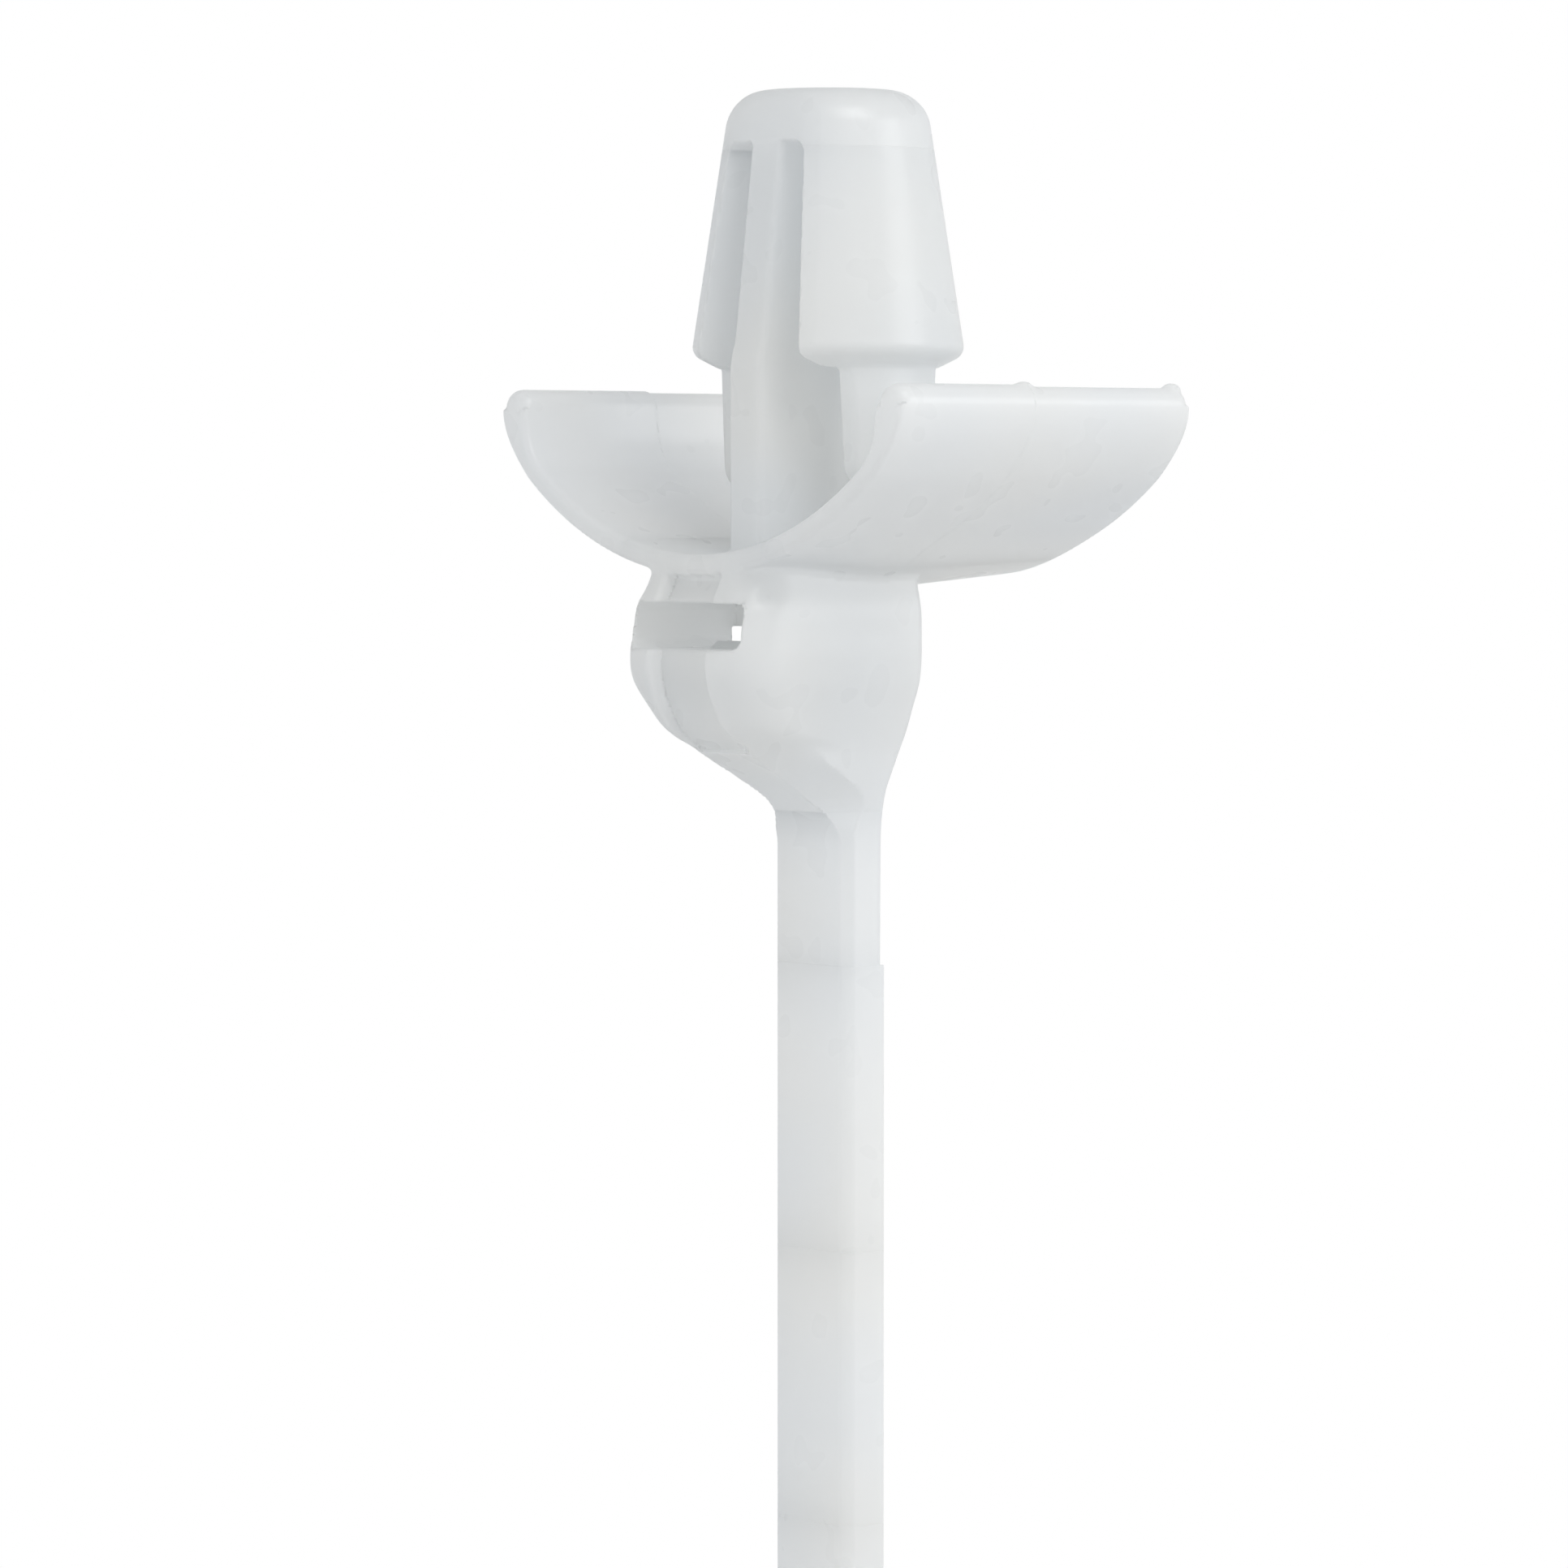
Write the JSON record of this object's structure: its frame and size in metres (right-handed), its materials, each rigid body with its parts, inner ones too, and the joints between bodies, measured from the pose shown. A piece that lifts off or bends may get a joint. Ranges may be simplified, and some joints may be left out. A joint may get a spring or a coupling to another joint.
{
  "type": "push mount cable tie",
  "caption": "Slim cable tie moulded in one piece with an arrowhead panel anchor, two sprung wings and a ratchet head.",
  "frame": {"origin": "centre of the panel hole, in the plane of the wing tips, which is the panel's face", "axes": "+Z the way that the arrowhead enters the panel, X along the wing span, -Y the side where the threaded strap leaves the slot"},
  "size_m": [0.0148, 0.0095, 0.1004],
  "materials": {
    "natural_nylon": "milky translucent moulded nylon, smooth with a soft gloss"
  },
  "bodies": {
    "anchor": {"nose": "natural_nylon", "spine_web": "natural_nylon", "wing_hub": "natural_nylon", "head_cheek_left": "natural_nylon", "head_cheek_right": "natural_nylon", "head_bridge": "natural_nylon", "head_floor": "natural_nylon", "strap_root": "natural_nylon"},
    "barb_left": {"barb_left": "natural_nylon"},
    "barb_right": {"barb_right": "natural_nylon"},
    "wing_left": {"wing_left": "natural_nylon"},
    "wing_right": {"wing_right": "natural_nylon"},
    "pawl": {"pawl": "natural_nylon"},
    "strap_link_01": {"strap_link_01": "natural_nylon"},
    "strap_link_02": {"strap_link_02": "natural_nylon"},
    "strap_link_03": {"strap_link_03": "natural_nylon"},
    "strap_link_04": {"strap_link_04": "natural_nylon"},
    "strap_link_05": {"strap_link_05": "natural_nylon"},
    "strap_link_06": {"strap_link_06": "natural_nylon"},
    "strap_link_07": {"strap_link_07": "natural_nylon"},
    "strap_link_08": {"strap_link_08": "natural_nylon"},
    "strap_link_09": {"strap_link_09": "natural_nylon"},
    "strap_link_10": {"strap_link_10": "natural_nylon"},
    "strap_link_11": {"strap_link_11": "natural_nylon"},
    "strap_link_12": {"strap_link_12": "natural_nylon"},
    "strap_tip": {"strap_tip": "natural_nylon"}
  },
  "joints": [
    {"name": "barb_left_flex", "type": "hinge", "parent": "anchor", "child": "barb_left", "pos_m": [-0.00195, 0, 0.0056], "axis": [0, -1, 0], "range_deg": [0, 9], "stiffness_Nm_per_rad": 0.05},
    {"name": "barb_right_flex", "type": "hinge", "parent": "anchor", "child": "barb_right", "pos_m": [0.00195, 0, 0.0056], "axis": [0, 1, 0], "range_deg": [0, 9], "stiffness_Nm_per_rad": 0.05},
    {"name": "wing_left_flex", "type": "hinge", "parent": "anchor", "child": "wing_left", "pos_m": [-0.0027, 0, -0.00378], "axis": [0, -1, 0], "range_deg": [0, 20], "stiffness_Nm_per_rad": 0.02},
    {"name": "wing_right_flex", "type": "hinge", "parent": "anchor", "child": "wing_right", "pos_m": [0.0027, 0, -0.00378], "axis": [0, 1, 0], "range_deg": [0, 20], "stiffness_Nm_per_rad": 0.02},
    {"name": "pawl_flex", "type": "hinge", "parent": "anchor", "child": "pawl", "pos_m": [0, -0.0005, -0.0069], "axis": [1, 0, 0], "range_deg": [0, 10], "stiffness_Nm_per_rad": 0.005},
    {"name": "strap_curl", "type": "hinge", "parent": "anchor", "child": "strap_link_01", "pos_m": [0, 0, -0.01065], "axis": [1, 0, 0], "range_deg": [-8, 22], "stiffness_Nm_per_rad": 0.1},
    {"name": "strap_bend_02", "type": "hinge", "parent": "strap_link_01", "child": "strap_link_02", "pos_m": [0, 0, -0.01715], "axis": [1, 0, 0], "range_deg": [-8, 22]},
    {"name": "strap_bend_03", "type": "hinge", "parent": "strap_link_02", "child": "strap_link_03", "pos_m": [0, 0, -0.02365], "axis": [1, 0, 0], "range_deg": [-8, 22]},
    {"name": "strap_bend_04", "type": "hinge", "parent": "strap_link_03", "child": "strap_link_04", "pos_m": [0, 0, -0.03015], "axis": [1, 0, 0], "range_deg": [-8, 22]},
    {"name": "strap_bend_05", "type": "hinge", "parent": "strap_link_04", "child": "strap_link_05", "pos_m": [0, 0, -0.03665], "axis": [1, 0, 0], "range_deg": [-8, 22]},
    {"name": "strap_bend_06", "type": "hinge", "parent": "strap_link_05", "child": "strap_link_06", "pos_m": [0, 0, -0.04315], "axis": [1, 0, 0], "range_deg": [-8, 22]},
    {"name": "strap_bend_07", "type": "hinge", "parent": "strap_link_06", "child": "strap_link_07", "pos_m": [0, 0, -0.04965], "axis": [1, 0, 0], "range_deg": [-8, 22]},
    {"name": "strap_bend_08", "type": "hinge", "parent": "strap_link_07", "child": "strap_link_08", "pos_m": [0, 0, -0.05615], "axis": [1, 0, 0], "range_deg": [-8, 22]},
    {"name": "strap_bend_09", "type": "hinge", "parent": "strap_link_08", "child": "strap_link_09", "pos_m": [0, 0, -0.06265], "axis": [1, 0, 0], "range_deg": [-8, 22]},
    {"name": "strap_bend_10", "type": "hinge", "parent": "strap_link_09", "child": "strap_link_10", "pos_m": [0, 0, -0.06915], "axis": [1, 0, 0], "range_deg": [-8, 22]},
    {"name": "strap_bend_11", "type": "hinge", "parent": "strap_link_10", "child": "strap_link_11", "pos_m": [0, 0, -0.07565], "axis": [1, 0, 0], "range_deg": [-8, 22]},
    {"name": "strap_bend_12", "type": "hinge", "parent": "strap_link_11", "child": "strap_link_12", "pos_m": [0, 0, -0.08215], "axis": [1, 0, 0], "range_deg": [-8, 22]},
    {"name": "strap_bend_13", "type": "hinge", "parent": "strap_link_12", "child": "strap_tip", "pos_m": [0, 0, -0.08865], "axis": [1, 0, 0], "range_deg": [-8, 22]}
  ],
  "couplings": [
    {"joint": "strap_bend_02", "follows": "strap_curl", "ratio": 1},
    {"joint": "strap_bend_03", "follows": "strap_curl", "ratio": 1},
    {"joint": "strap_bend_04", "follows": "strap_curl", "ratio": 1},
    {"joint": "strap_bend_05", "follows": "strap_curl", "ratio": 1},
    {"joint": "strap_bend_06", "follows": "strap_curl", "ratio": 1},
    {"joint": "strap_bend_07", "follows": "strap_curl", "ratio": 1},
    {"joint": "strap_bend_08", "follows": "strap_curl", "ratio": 1},
    {"joint": "strap_bend_09", "follows": "strap_curl", "ratio": 1},
    {"joint": "strap_bend_10", "follows": "strap_curl", "ratio": 1},
    {"joint": "strap_bend_11", "follows": "strap_curl", "ratio": 1},
    {"joint": "strap_bend_12", "follows": "strap_curl", "ratio": 1},
    {"joint": "strap_bend_13", "follows": "strap_curl", "ratio": 1}
  ]
}
